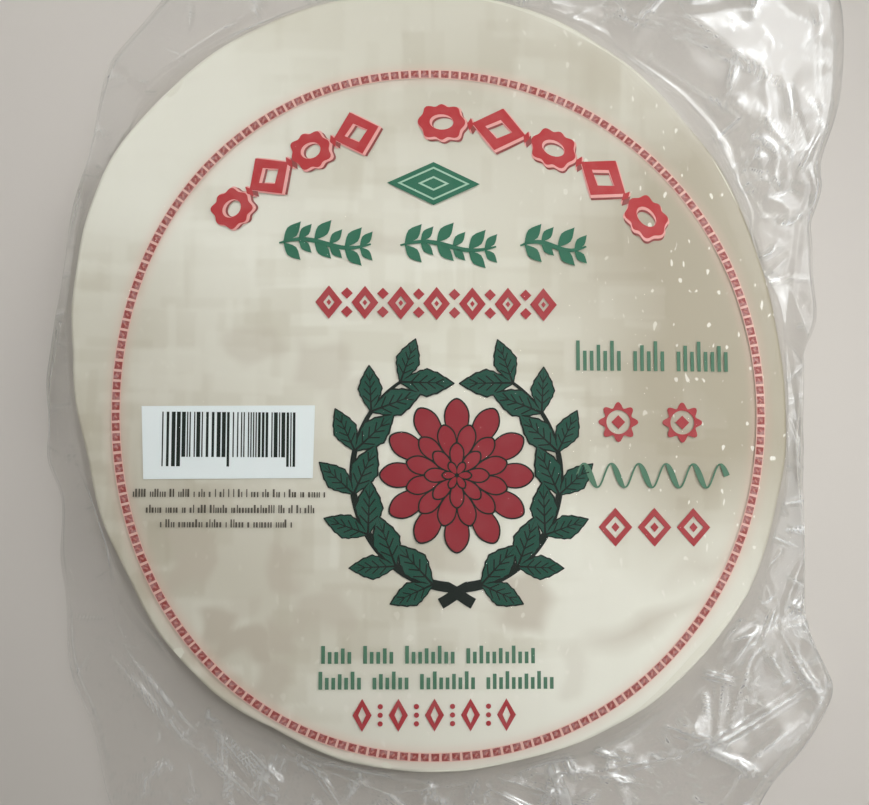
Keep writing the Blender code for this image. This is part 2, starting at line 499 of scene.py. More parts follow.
def loose_folds(x, y):
    """The named long folds, the star of folds at the hub, and many small ones."""
    rng = np.random.default_rng(5)
    relief = sum(tents(x, y, LONG_FOLDS))
    for i in range(HUB_FOLDS):
        turn = HUB_START + i * tau / HUB_FOLDS + rng.uniform(-0.15, 0.15)
        length = rng.uniform(*HUB_LENGTH)
        middle = (HUB[0] + 0.5 * length * cos(turn), HUB[1] + 0.5 * length * sin(turn))
        width, height = rng.uniform(1.6, 3.0) * MM, rng.uniform(0.6, 1.4) * MM
        relief += tent(x, y, (*middle, turn, length, width, height))
    for _ in range(SMALL_FOLDS):
        angle = rng.uniform(0, tau)
        amount = by_direction(SMALL, angle)
        inner, outer = reach_at(pile_reach, angle), reach_at(edge_reach, angle)
        reach = inner + (outer - inner) * rng.uniform(0.15, 0.9)
        turn = angle + rng.normal(0, 0.7)
        sizes = (rng.uniform(5, 18), rng.uniform(0.8, 1.5), (0.10 + amount) * rng.uniform(0.3, 0.9))
        relief += tent(x, y, (*places_at(reach, angle), turn, *(size * MM for size in sizes)))
    return relief


def crumpled(x, y):
    """Facets, crackle, the places that are screwed up tight, and all the folds."""
    crumple = by_direction(SMALL, spoke_angles) * facets(12, SMALL_WIDTH, x, y)
    crumple += by_direction(CRACKLE, spoke_angles) * facets(13, CRACKLE_WIDTH, x, y)
    tight = sum(amount * ramp(-np.hypot(x - sx * MM, y - sy * MM), -radius * MM, 0)
                for sx, sy, radius, amount in SPOTS)
    crumple += tight * facets(14, CRACKLE_WIDTH, x, y)
    return crumple * MM + loose_folds(x, y)


# %% [markdown]
# Nothing of this reaches the pile or the very edge, where the creases run out, and the film on the
# pile only swells a little. At last every crease is blunted over one step of the grid, and the top
# is kept clear of the underside, so that the skin never cuts itself.

# %% The film's heights
# Where between pile and edge the creases and the plates grow and fade.
CREASED_FROM, CREASED_TO = (0.02, 0.22), (0.9, 1.0)
PLATED_FROM, PLATED_TO = 0.24, (0.89, 1.0)
PLATES_WANDER = 0.55
CLING_SWELL = 0.12 * MM
UNDER_SWELL = 0.12 * MM
TOP_SWELL = 0.2 * MM
LAYER_GAP = 0.45 * MM
GROUND_GAP = 0.20 * MM


def blunted(relief):
    """Rounds every crease over one step of the grid, so that none runs as a row of teeth."""
    for axis in (0, 1):
        relief = (np.roll(relief, 1, axis) + 2 * relief + np.roll(relief, -1, axis)) / 4
    return relief


def film_points():
    """Rings by spokes: x, y, z, how far out in the loose film, and the relief of the creases."""
    share, loose, under = ring_table().T[:, :, None]
    x, y, base = film_plan(share, loose)
    swell = ramp(loose, *CREASED_FROM) * (1 - 0.6 * ramp(loose, *CREASED_TO)) * (under == 0)
    reach_in = PLATED_FROM * (1 + PLATES_WANDER * np.clip(waves(42, 34 * MM, x, y), -1, 1))
    held = ramp(loose / reach_in, 0.1, 1) * (1 - ramp(loose, *PLATED_TO)) * (under == 0)
    relief = (plated(x, y) - base) * held + crumpled(x, y) * swell
    cling = sum(tents(x, y, CLING_FOLDS), CLING_SWELL * waves(7, 46 * MM, x, y))
    top = base + blunted(relief) + cling * (1 - swell)
    bottom = GROUND_GAP + UNDER_SWELL * (1 + waves(8, 21 * MM, x, y)) * (loose > 0)
    lowest_top = bottom + LAYER_GAP * (1 - 0.6 * ramp(loose, *CREASED_TO))
    top = np.maximum(top, lowest_top + TOP_SWELL * np.abs(waves(9, 9 * MM, x, y)))
    z = np.where(under == 1, bottom, np.where(under == 0, top, (bottom + lowest_top) / 2))
    return x, y, z, loose, relief


# %% [markdown]
# Film that is bent sharply turns milky. How sharply the creases bend, before they are blunted, is
# kept for the film's finish, together with short white lines that are painted highlights, standing
# in for the glints along a few folds.

# %% Where the film is creased
CREASE_BENDS = (0.09 * MM, 0.60 * MM)


def creasing(z, blunt, sharp):
    """How sharply a relief bends at each point: 0 at a bend of `blunt`, 1 at `sharp`."""
    bend = np.zeros(z.shape)
    bend[1:-1] = np.abs(z[2:] + z[:-2] - 2 * z[1:-1])
    bend += np.abs(np.roll(z, 1, 1) + np.roll(z, -1, 1) - 2 * z)
    return np.clip((bend - blunt) / (sharp - blunt), 0, 1)


def painted_glint_lines(x, y):
    """Painted highlight: how white each point is along the short glint lines, broken up as they are."""
    lines = tents(x, y, [(*line, GLINT_LINE_HALF_WIDTH, 1) for line in GLINT_LINES])
    white = GLINT_LINE_WHITE * np.maximum.reduce(list(lines)) / MM
    return white * ramp(facets(16, GLINT_LINE_GRAIN, x, y), 0.15, 0.55)


film_x, film_y, film_z, film_loose, film_relief = film_points()
film_crease = creasing(film_relief, *CREASE_BENDS)
# The painted glint lines join the creases, where the film's finish mixes in white.
film_crease = np.maximum(film_crease, painted_glint_lines(film_x, film_y) * (film_z > LAYER_GAP))
print("film creased over", round(float((film_crease > 0.3).mean()) * 100), "% of its points")

# %% [markdown]
# ## Finishes
#
# A finish is a small net of nodes. The helpers below add and link them, so that each finish reads
# like a recipe. A number that is the same all over is set on the node itself.

# %% Helpers for materials
def start_material(name):
    """A material without any node."""
    material = bpy.data.materials.new(name)
    material.use_nodes = True
    material.node_tree.nodes.clear()
    return material, material.node_tree


def add(tree, kind, settings=None, **inputs):
    """A new node. Each input is a number, a colour, or another node's output."""
    made = tree.nodes.new("ShaderNode" + kind)
    for key, value in (settings or {}).items():
        setattr(made, key, value)
    for key, value in inputs.items():
        socket = made.inputs[int(key[1:])] if key[1:].isdigit() else made.inputs[key.replace("_", " ")]
        if isinstance(value, bpy.types.NodeSocket):
            tree.links.new(value, socket)
        else:
            socket.default_value = value
    return made


def finish_material(material, shader):
    add(material.node_tree, "OutputMaterial", Surface=shader.outputs[0])
    return material


def maths(tree, operation, a, b=0.5, c=0.5):
    """The result of one sum on numbers or sockets."""
    return add(tree, "Math", {"operation": operation}, i0=a, i1=b, i2=c).outputs[0]


def trait(tree, name):
    """A number that is stored on the points."""
    return add(tree, "Attribute", {"attribute_name": name}).outputs["Fac"]


def mixed(tree, share, a, b):
    """A colour between a and b."""
    return add(tree, "Mix", {"data_type": "RGBA"}, i0=share, i6=a, i7=b).outputs[2]


def stepped(tree, value, start, end):
    """A smooth step from 0 at start to 1 at end."""
    settings = {"interpolation_type": "SMOOTHSTEP"}
    return add(tree, "MapRange", settings, Value=value, From_Min=start, From_Max=end).outputs[0]


def cloudy(tree, scale, detail, stretch=(1, 1, 1)):
    """Fine noise on Object coordinates, in metres."""
    coordinates = add(tree, "TexCoord").outputs["Object"]
    place = add(tree, "Mapping", Vector=coordinates, Scale=stretch).outputs[0]
    return add(tree, "TexNoise", Vector=place, Scale=scale, Detail=detail).outputs["Fac"]


# %% [markdown]
# ### Clear film
#
# Film shows by what it does to light, not by its own colour: it mirrors a few per cent of the
# studio, more at a glancing angle, it scatters a little white, and lets the rest straight through.
# A glass shader would bend light at each of the two skins, which wastes effort on something so
# thin. So three simple shaders are mixed: transparent, a trace of white, and a gloss whose share
# grows with the angle as in Schlick's rule. `Layer Weight` gives that angle for both sides of the
# skin alike. Two numbers stored on the points steer the mix: `loose` is 0 on the pile, where the
# inside of the film is wet with ink and paper and mirrors little, and 1 round it; `crease` is high
# along folds, where stretched film turns milky and its small facets catch the light. The white that
# the creases mix in is partly that real milkiness and partly a painted highlight, standing in for
# the bright glints along the folds, most of all along the short painted glint lines.

# %% Finish of the film
# Shares of gloss and of white: on the pile, and what is added where the film is loose or creased; the
# white along creases is partly painted highlight.
FILM_MIRROR = (0.016, 0.042)
FILM_HAZE = (0.004, 0.034)
FILM_CREASE_MILK_AND_GLINT = 0.45
FILM_CREASE_MIRROR = 0.10
FILM_GLANCING = 0.5
FILM_ROUGHNESS = 0.17
FILM_TINT = (0.979, 0.976, 0.971, 1)
FILM_WHITE = (0.80, 0.82, 0.82, 1)


def film_material():
    material, tree = start_material("clear_film")
    loose, crease = trait(tree, "loose"), trait(tree, "crease")
    facing = add(tree, "LayerWeight", Blend=0.5).outputs["Facing"]
    mirror = maths(tree, "MULTIPLY_ADD", loose, FILM_MIRROR[1], FILM_MIRROR[0])
    mirror = maths(tree, "MULTIPLY_ADD", maths(tree, "POWER", facing, 5.0), FILM_GLANCING, mirror)
    mirror = maths(tree, "MULTIPLY_ADD", crease, FILM_CREASE_MIRROR, mirror)
    haze_and_glint = maths(tree, "MULTIPLY_ADD", loose, FILM_HAZE[1], FILM_HAZE[0])
    # White along creases: partly the real milkiness of bent film, partly a painted highlight for the
    # glints along folds.
    haze_and_glint = maths(tree, "MULTIPLY_ADD", crease, FILM_CREASE_MILK_AND_GLINT, haze_and_glint)
    clear = add(tree, "BsdfTransparent", Color=FILM_TINT).outputs[0]
    milk = add(tree, "BsdfDiffuse", Color=FILM_WHITE).outputs[0]
    gloss = add(tree, "BsdfGlossy", Color=(1, 1, 1, 1), Roughness=FILM_ROUGHNESS).outputs[0]
    body = add(tree, "MixShader", i0=haze_and_glint, i1=clear, i2=milk).outputs[0]
    return finish_material(material, add(tree, "MixShader", i0=mirror, i1=body, i2=gloss))


film_traits = {"crease": film_crease, "loose": ramp(film_loose, 0.0, 0.12) * np.ones(film_x.shape)}
film_skin = ring_skin(film_x, film_y, film_z, film_traits)
film_tree = BVHTree.FromBMesh(film_skin)
finish_piece("film", film_skin, film_material())

# %% [markdown]
# ## The sheets
#
# Rice paper is cast as a thin batter, steamed, and dried on a woven bamboo mat. Each sheet is a
# little under half a millimetre thick, cream coloured and a little see-through, and its rim is
# never quite round. The pile is modelled as it is packed: three dozen closed sheets, each with its
# own wavy rim and a small shift. The lowest ones are pushed a little to one side, as the pile slid
# when the pack was laid down.

# %% Sizes of the sheets
SHEETS = 36
SHEET_THICKNESS = 0.36 * MM
AIR_UNDER_FILM = 0.75 * MM
AIR_UNDER_PILE = 0.6 * MM
ROOM_FOR_INK = 0.42 * MM
RIM_INSET = 0.9 * MM
LOWER_INSET = 0.9 * MM
RAGGED = 0.28 * MM
SLID_FROM = 0.45
SLIDE = Vector((0.5, -0.5, 0)) * MM
# How far a sheet's rim hangs below its middle: degrees and millimetres.
RIM_DIP = ((0, 0.9), (45, 0.5), (90, 0.4), (135, 0.7), (180, 1.1), (225, 1.2), (270, 0.8), (315, 0.3))
pile_top = cast_down(film_tree, np.array([MIDDLE.x]), np.array([MIDDLE.y]))[0] - AIR_UNDER_FILM
pitch = (pile_top - AIR_UNDER_PILE) / SHEETS


def rim_of_sheet(number, angles):
    """The reach of one sheet's rim, counted from the top, with its own waviness."""
    ragged = RAGGED * waves_round(100 + number // 9, 30 * MM, angles)
    return reach_at(pile_reach, angles) - RIM_INSET - LOWER_INSET * min(number / 4, 1) + ragged


def shift_of_sheet(number):
    rng = np.random.default_rng(300 + number)
    slide = Vector() if number < SHEETS * SLID_FROM else SLIDE
    return slide + Vector((*rng.uniform(-0.1, 0.1, 2), 0)) * MM


def dip_at(angles, share):
    return by_direction(RIM_DIP, angles) * MM * ramp(share, 0.72, 1.03) ** 1.3


print(SHEETS, "sheets,", round(pitch / MM, 2), "mm apart, top at", round(pile_top / MM, 2), "mm")

# %% [markdown]
# Only the top sheet shows its face. Its quiet pattern is worked out for each point of the sheet and
# stored there, which renders far quicker than a stack of texture nodes: `tone` holds the
# straight-edged patches that the mat's strips leave, with painted light where the sheet is paler and
# a painted highlight along part of its rim; another number holds the darker, warmer margin, partly
# the paper's own warmer tone and partly painted shade where the rim dips away from the light; `damp`
# holds the soft islands where the sheet sticks to the film, which look darker because no air is
# left between the two; `blush` holds a painted reflection, the red light that the printed ring
# throws on the sheet below it; and a last number holds the side on which painted glints show as
# small pale specks.

# %% Where the top sheet is paler, warmer or damp, with painted light and shade
# Tables of (degrees, amount), each with the reaches between which it grows from nothing to all.
# Darker and warmer margin, partly the paper's own warmer tone and partly painted shade where the rim dips
# away from the light:
MARGIN_WARMTH_AND_SHADE = ((0, 1.3), (30, 1.2), (55, 0.55), (90, 0.46), (115, 0.2), (150, 0.05), (172, 0.42), (210, 0.68),
        (240, 0.42), (270, 0.45), (292, 0.0), (312, 0.1), (332, 0.95))
MARGIN_WARMTH_AND_SHADE_REACH = (8 * MM, 95 * MM)
# Painted light, paler where more light falls on the sheet, at the upper left and the lower right:
PAINTED_LIGHT = ((0, 0.0), (110, 0.1), (150, 0.6), (172, 0.2), (240, 0.0), (280, 0.3), (300, 0.6), (320, 0.5),
         (340, 0.0))
PAINTED_LIGHT_REACH = (35 * MM, 75 * MM)
# Painted highlight along the very rim, where the bent-down rim faces the light:
RIM_HIGHLIGHT = ((0, 0.0), (60, 0.0), (140, 0.2), (200, 0.0), (240, 0.25), (270, 0.6), (300, 0.7), (325, 0.6),
            (345, 0.1))
RIM_HIGHLIGHT_REACH = (80 * MM, 97 * MM)
# Painted glints, as small pale specks on the sheet:
GLINT_SPECKED = ((0, 1.0), (40, 0.9), (65, 0.4), (90, 0.1), (230, 0.1), (280, 0.4), (320, 0.6), (340, 1.0))
GLINT_SPECK_REACH = (40 * MM, 85 * MM)
# Islands that stick to the film: middle x and y, half width, half height (mm), and strength.
ISLANDS = (
    (-77, -54, 7, 4, 1.0), (-77, -46, 6, 3, 0.7), (-69, -69, 7, 5, 1.0), (-61, -75, 8, 4, 1.0),
    (-51, -72, 6, 3, 0.9), (-55, -84, 5, 8, 0.8), (-51, -54, 2.5, 7, 0.8), (-40, -66, 9, 6, 0.6),
    (-63, -64, 5, 3, 0.4), (17, -62, 8, 9, 0.8), (-41, 5, 8, 8, 0.45), (-60, 11, 9, 6, 0.40),
    (-33, -5, 6, 6, 0.35), (-22, 42, 5, 4, 0.35), (52, -70, 17, 2.5, 0.7), (70, -52, 12, 2.5, 0.5),
    (32, -82, 3, 8, 0.25), (-8, -50, 14, 5, 0.5),
)
print(len(ISLANDS), "islands")

# %% [markdown]
# The mat's marks are hundreds of soft-edged blocks at random places, laid nearly straight. Painted
# light and a painted rim highlight from the tables above are laid over them. An island is a block
# too, with its outline thrown about by waves, and the two long thin ones are slanting smears.

# %% Patterns in the top sheet
MAT_PATCHES = 260
MAT_STRIPS = 130
MAT_SOFTNESS = 0.46
ISLAND_WANDER = 1.6 * MM
SMEAR_LIE = radians(22)


def by_table(table, reaches, x, y):
    """A table's amount in each direction, growing from nothing to all between two reaches."""
    reach, angle = reach_and_angle(x, y)
    return by_direction(table, angle) * ramp(reach, *reaches)


def soft_block(x, y, middle, half_width, half_height, edge, turn=0.0):
    """1 inside a block with round corners, falling to 0 over the width of its edge."""
    along = np.abs((x - middle[0]) * cos(turn) + (y - middle[1]) * sin(turn))
    across = np.abs((y - middle[1]) * cos(turn) - (x - middle[0]) * sin(turn))
    outside = np.hypot(np.maximum(along - half_width, 0), np.maximum(across - half_height, 0))
    return 1 - ramp(outside, 0, edge)


def mat_tone(x, y):
    """Straight-edged patches, some paler and some darker, about a middle of 0.5, with painted light and a
    painted highlight at the rim laid over them.
    """
    rng = np.random.default_rng(61)
    tone = np.zeros(x.shape)
    for _ in range(MAT_PATCHES):
        middle = rng.uniform(-112, 112, 2) * MM + np.array(MIDDLE.xy)
        half = rng.uniform(2, 10, 2) * MM
        amount = rng.choice((-0.3, -0.18, 0.18, 0.3))
        tone += amount * soft_block(x, y, middle, *half, 1.2 * MM, rng.normal(0, 0.04))
    for _ in range(MAT_STRIPS):
        middle = rng.uniform(-108, 108, 2) * MM + np.array(MIDDLE.xy)
        half = np.array((rng.uniform(0.5, 1.6), rng.uniform(4, 12)))[:: rng.choice((-1, 1))] * MM
        tone += rng.choice((-0.22, 0.3)) * soft_block(x, y, middle, *half, 1.0 * MM, rng.normal(0, 0.05))
    tone *= 0.85 - 0.40 * (y - MIDDLE.y) / PILE_RADIUS
    # Soft waves, and painted light where more light falls on the sheet; then a painted highlight along
    # part of the rim.
    tone += 0.10 * waves(62, 40 * MM, x, y) + by_table(PAINTED_LIGHT, PAINTED_LIGHT_REACH, x, y)
    tone += by_table(RIM_HIGHLIGHT, RIM_HIGHLIGHT_REACH, x, y)
    return 0.5 + 0.5 * np.tanh(tone / MAT_SOFTNESS)


def damp_islands(x, y):
    """How far each point sticks to the film."""
    wander_x = x + ISLAND_WANDER * waves(63, 16 * MM, x, y)
    wander_y = y + ISLAND_WANDER * waves(64, 16 * MM, x, y)
    damp = np.zeros(x.shape)
    for ix, iy, half_width, half_height, strength in ISLANDS:
        middle, width, height = (ix * MM, iy * MM), half_width * MM, half_height * MM
        if width > 4 * height:
            stuck = tent(x, wander_y, (*middle, SMEAR_LIE, 2.6 * width, 2.0 * height, 1))
        else:
            edge = 2.2 * MM + 0.3 * height
            stuck = soft_block(wander_x, wander_y, middle, 0.6 * width, 0.6 * height, edge)
        damp = np.maximum(damp, strength * stuck)
    return damp


# %% [markdown]
# The printed ring has to be known already here, because a painted reflection of its red light lies
# on the sheet below it. It is a slightly tall and slightly square oval, and the film is never laid
# quite true, so it is pulled out at three weak corners, by half a millimetre.

# %% Outline of the printed ring
PRINT_MIDDLE = Vector((-6.65, -7.35, 0)) * MM
RING_MIDDLE = (0.2, -0.15)
RING_HALF_WIDTH = 93.2
RING_HALF_HEIGHT = 99.0
RING_POWER = 2.06
RING_PULL = 0.5
# Width and outward offset of the painted reflection of the ring's red on the sheet.
RING_REFLECTION_WIDTH = 1.9 * MM
RING_REFLECTION_OUT = 1.0 * MM


def ring_reach(a):
    """The ring's reach in millimetres in the direction a."""
    across = np.abs(np.cos(a) / RING_HALF_WIDTH) ** RING_POWER
    upright = np.abs(np.sin(a) / RING_HALF_HEIGHT) ** RING_POWER
    return (across + upright) ** (-1 / RING_POWER) + RING_PULL * np.cos(3 * a)


def painted_ring_reflection(x, y):
    """Painted reflection: the ring's red light, thrown softly onto the sheet below it."""
    dx = x - PRINT_MIDDLE.x - RING_MIDDLE[0] * MM
    dy = y - PRINT_MIDDLE.y - RING_MIDDLE[1] * MM
    away = np.abs(np.hypot(dx, dy) - ring_reach(np.arctan2(dy, dx)) * MM)
    return np.exp(-((np.maximum(away - RING_REFLECTION_OUT, 0) / RING_REFLECTION_WIDTH) ** 2))


print("ring reach", [round(float(ring_reach(radians(turn))), 1) for turn in (0, 90, 180, 270)], "mm")

# %% [markdown]
# The top sheet gets a fine grid, as its pattern needs. It sags slightly where the pile under it is
# uneven, dips at its rim, and stays under the film with room for the ink. The others show only
# their rims, so each starts as a flat cylinder and is bent like the top one.

# %% Shape of the sheets
TOP_SPOKES = 640
TOP_RINGS = 138
BACK_RINGS = 12
LOWER_SPOKES = 200
LOWER_TONE = 0.5


def top_sheet_skin():
    """The sheet whose face shows, as a closed skin with a fine top."""
    angles = np.arange(TOP_SPOKES) / TOP_SPOKES * tau
    share = np.concatenate([np.linspace(0, 1, TOP_RINGS), np.linspace(1, 0, BACK_RINGS)])[:, None]
    under = np.concatenate([np.zeros(TOP_RINGS), np.ones(BACK_RINGS)])[:, None]
    shift = shift_of_sheet(0)
    x, y = places_at(share * rim_of_sheet(0, angles), angles)
    x, y = x + shift.x, y + shift.y
    sag = 0.16 * MM * waves(21, 60 * MM, x, y) + 0.07 * MM * waves(22, 17 * MM, x, y)
    flutter = 0.30 * MM * waves(23, 15 * MM, x, y) * ramp(share, 0.93, 1.0)
    under_film = cast_down(film_tree, x, y) - ROOM_FOR_INK
    z = np.minimum(pile_top - dip_at(angles, share) + sag + flutter, under_film)
    tone = mat_tone(x, y)
    # The darker, warmer margin: partly the paper's own warmer tone, partly painted shade where the rim
    # dips away from the light. It gives way to the painted highlight at the rim.
    margin_warmth_and_shade = by_table(MARGIN_WARMTH_AND_SHADE, MARGIN_WARMTH_AND_SHADE_REACH, x, y) * (1 - by_table(RIM_HIGHLIGHT, RIM_HIGHLIGHT_REACH, x, y))
    traits = {
        "tone": tone,
        "damp": damp_islands(x, y),
        "margin_warmth_and_shade": margin_warmth_and_shade * (1.22 - 0.44 * tone),
        # painted reflection of the ring's red light
        "blush": painted_ring_reflection(x, y),
        # where painted glints show as pale specks
        "glint_specked": by_table(GLINT_SPECKED, GLINT_SPECK_REACH, x, y),
    }
    return ring_skin(x, y, z - under * SHEET_THICKNESS, traits)


def lower_sheets():
    """All the other sheets in one bmesh, each a closed disc with a wavy rim."""
    bm = bmesh.new()
    for number in range(1, SHEETS):
        verts = bmesh.ops.create_cone(bm, cap_ends=True, segments=LOWER_SPOKES, radius1=1, radius2=1,
                                      depth=1)["verts"]
        angles = np.array([atan2(vert.co.y, vert.co.x) for vert in verts])
        dip = dip_at(angles, 1.0) * (1 - number / SHEETS) ** 0.7
        level = pile_top - number * pitch - dip + 0.10 * MM * np.sin(angles * 9 + number * 2.1)
        middle = MIDDLE + shift_of_sheet(number)
        for vert, angle, reach, high in zip(verts, angles, rim_of_sheet(number, angles), level):
            vert.co = middle + heading(angle) * reach + UP * (high + SHEET_THICKNESS * (vert.co.z - 0.5))
    bmesh.ops.recalc_face_normals(bm, faces=bm.faces)
    tone = bm.verts.layers.float.new("tone")
    for vert in bm.verts:
        vert[tone] = LOWER_TONE
    return bm


# %% [markdown]
# ### Dried rice paper
#
# From a step away the paper is one pale cream with a trace of green. The stored numbers shade it
# between a paler and a warmer cream, with painted light among the paler parts, darken the islands
# and the margin, part of which is painted shade, and lay on a painted reflection of the ring's red.
# Small painted glints show as pale specks. They are too small for the sheet's grid, so they are the
# peaks of a fine noise, cut off high enough to leave single specks.

# %% Finish of the sheets
PAPER_PALE = (0.848, 0.857, 0.770, 1)
PAPER_WARM = (0.668, 0.655, 0.548, 1)
PAPER_DAMP = (0.555, 0.515, 0.425, 1)
# Colour of the darker, warmer margin: partly the paper's own tone, partly painted shade.
PAPER_WARMTH_AND_SHADE = (0.445, 0.405, 0.308, 1)
# Painted reflection of the ring's red light on the sheet:
PAPER_RING_REFLECTION = (0.740, 0.520, 0.440, 1)
# Painted glints, as small pale specks:
PAPER_GLINT_SPECK = (0.890, 0.880, 0.810, 1)
PAPER_ROUGHNESS = 0.6
# Share of the painted reflection of the ring's red:
RING_REFLECTION_SHARE = 0.38
# Size, stretch and cut-off of the noise for the painted glint specks:
GLINT_SPECK_SCALE = 560.0
GLINT_SPECK_STRETCH = (1, 0.55, 1)
GLINT_SPECK_FROM, GLINT_SPECK_TO = 0.752, 0.800


def paper_material():
    material, tree = start_material("rice_paper")
    # Painted glints: single pale specks at the peaks of a fine noise.
    specks = stepped(tree, cloudy(tree, GLINT_SPECK_SCALE, 0.0, GLINT_SPECK_STRETCH), GLINT_SPECK_FROM, GLINT_SPECK_TO)
    colour = mixed(tree, trait(tree, "tone"), PAPER_WARM, PAPER_PALE)
    # Over the tone go the margin's warmth with painted shade, the damp islands, a painted reflection of
    # the ring's red, and painted glints as pale specks.
    for share, paint in (
        (trait(tree, "margin_warmth_and_shade"), PAPER_WARMTH_AND_SHADE),
        (trait(tree, "damp"), PAPER_DAMP),
        (maths(tree, "MULTIPLY", trait(tree, "blush"), RING_REFLECTION_SHARE), PAPER_RING_REFLECTION),
        (maths(tree, "MULTIPLY", trait(tree, "glint_specked"), specks), PAPER_GLINT_SPECK),
    ):
        colour = mixed(tree, share, colour, paint)
    shader = add(tree, "BsdfPrincipled", Base_Color=colour, Roughness=PAPER_ROUGHNESS)
    return finish_material(material, shader)


paper = paper_material()
finish_piece("top_sheet", top_sheet_skin(), paper)
finish_piece("sheets", lower_sheets(), paper, smooth=False)

# %% [markdown]
# ## The print
#
# The ink sits on the inner face of the film, so the film's gloss runs over it. The designs are
# plain ornaments: blocks, lozenges, dabs, strokes and a rosette in a wreath. Each field of ink is
# drawn flat at first, in millimetres from the middle of the print: a circle whose points are moved
# into a petal, a block or a leaf, a band between two outlines, or a strip that follows a line.

# %% Helpers: flat shapes
FLAT_WELD = 0.0001


def at(x, y, turn=0.0, scale=1.0):
    """A place for a shape: millimetres, degrees and size."""
    return Matrix.Translation((x, y, 0)) @ Matrix.Rotation(radians(turn), 4, "Z") @ Matrix.Scale(scale, 4)


def patch(bm, bend, place, steps):
    """A filled shape: each point (x, y) of a unit circle is moved to bend(x, y)."""
    for vert in bmesh.ops.create_circle(bm, cap_ends=True, segments=steps, radius=1)["verts"]:
        vert.co = place @ Vector((*bend(vert.co.x, vert.co.y), 0))


def bar(bm, width, height, place):
    """A straight-edged bar round its middle."""
    made = bmesh.ops.create_grid(bm, x_segments=1, y_segments=1, size=0.5)["verts"]
    bmesh.ops.transform(bm, matrix=place @ Matrix.Diagonal((width, height, 1, 1)), verts=made)


def strip(bm, line, half_width, place, steps):
    """A strip along line(t) for t from 0 to 1, half_width(t) to each side."""
    for vert in bmesh.ops.create_grid(bm, x_segments=steps, y_segments=1, size=0.5)["verts"]:
        t = vert.co.x + 0.5
        here = Vector(line(t))
        ahead = Vector(line(t + 0.001)) - here
        side = Vector((-ahead.y, ahead.x)).normalized()
        here += side * half_width(t) * (1 if vert.co.y > 0 else -1)
        vert.co = place @ Vector((*here, 0))


def band(bm, inner, outer, place, steps):
    """A closed band between two outlines, each given as a reach for an angle."""
    made = bmesh.ops.create_grid(bm, x_segments=steps, y_segments=1, size=0.5)["verts"]
    for vert in made:
        angle = (vert.co.x + 0.5) * tau
        reach = (outer if vert.co.y > 0 else inner)(angle)
        vert.co = place @ Vector((reach * cos(angle), reach * sin(angle), 0))
    bmesh.ops.remove_doubles(bm, verts=made, dist=FLAT_WELD)


# %% [markdown]
# An outline is a function from an angle to a reach, so that it can fill a patch, bound a band or be
# waved in and out. A leaf bends the circle in another way: its tip and its foot are pinched.

# %% Helpers: outlines and leaves
def lozenge_reach(half_width, half_height):
    return lambda a: 1 / (abs(cos(a)) / half_width + abs(sin(a)) / half_height)


def lozenge(bm, half_width, half_height, place, steps=8):
    patch(bm, filled(lozenge_reach(half_width, half_height)), place, steps)


def lozenge_ring(bm, hole, rim, place):
    """A lozenge with a hole. Both are given as half width and half height."""
    band(bm, lozenge_reach(*hole), lozenge_reach(*rim), place, 16)


def row_places(x, y, width, count):
    """Evenly spaced places in a row round its middle."""
    return [(x + width * ((i + 0.5) / count - 0.5), y) for i in range(count)]


def cushion_reach(half_width, half_height, power):
    """A block with rounded corners; a power of 2 makes an oval."""
    def reach(a):
        return (abs(cos(a) / half_width) ** power + abs(sin(a) / half_height) ** power) ** (-1 / power)
    return reach


def lobed(reach, lobes, depth):
    """Waves in and out of an outline."""
    return lambda a: reach(a) * (1 - depth + depth * cos(lobes * a))


def filled(reach):
    """Turns a reach for an angle into a bend for `patch`."""
    def bend(x, y):
        angle = atan2(y, x)
        return reach(angle) * cos(angle), reach(angle) * sin(angle)
    return bend


def leaf(length, width, pinch, teeth=0):
    """A pointed leaf from its foot at 0 to its tip at `length`, its edge plain or toothed."""
    def bend(x, y):
        tooth = 1 - 0.14 * (teeth * (x + 1) / 2 % 1) if teeth and abs(x) < 0.99 else 1
        return (x + 1) * length / 2, y * width / 2 * (1 - pinch * abs(x) ** 1.6) * tooth
    return bend


# %% [markdown]
# All the shapes of one ink are joined, cut into small squares by planes, and then every point is
# let down to just under the film, so the print follows its swells. Layers of ink are a few
# hundredths of a millimetre apart, the outlines lowest.

# %% Helper: ink under the film
DRAPE_CELL = 2.2 * MM
# How far each layer of ink lies below the film's upper face, in mm.
OVER, INK, UNDER, BACK = 0.10, 0.16, 0.22, 0.28
ROW_STEP = 0.06


def ink_piece(name, bm, material, depth):
    """Cuts flat ink into small squares and lets it down onto the inner face of the film."""
    bmesh.ops.triangulate(bm, faces=bm.faces)
    bmesh.ops.transform(bm, matrix=Matrix.Translation(PRINT_MIDDLE) @ Matrix.Scale(MM, 4), verts=bm.verts)
    for axis in (Vector((1, 0, 0)), Vector((0, 1, 0))):
        places = [vert.co.dot(axis) for vert in bm.verts]
        for level in np.arange(min(places) + DRAPE_CELL / 2, max(places), DRAPE_CELL):
            bmesh.ops.bisect_plane(bm, geom=bm.verts[:] + bm.edges[:] + bm.faces[:], dist=1e-7,
                                   plane_co=axis * level, plane_no=axis)
    for vert in bm.verts:
        film_over = film_tree.ray_cast(Vector((vert.co.x, vert.co.y, ABOVE)), -UP)[0]
        vert.co.z = film_over.z - depth * MM
    for face in bm.faces:
        if face.normal.z < 0:
            face.normal_flip()
    finish_piece(name, bm, material)


# %% [markdown]
# Ink is thin and even, yet not perfectly flat: it is a touch stronger in some places than in
# others, and the gloss of the film gives it its shine. One function makes all the inks.

# %% Inks
INK_PATCHES = 160.0
RING_MOTTLE = 900.0
INK_GLOSS, INK_ROUGHNESS = 0.2, 0.42
INK_THIN = (0.35, 0.75)


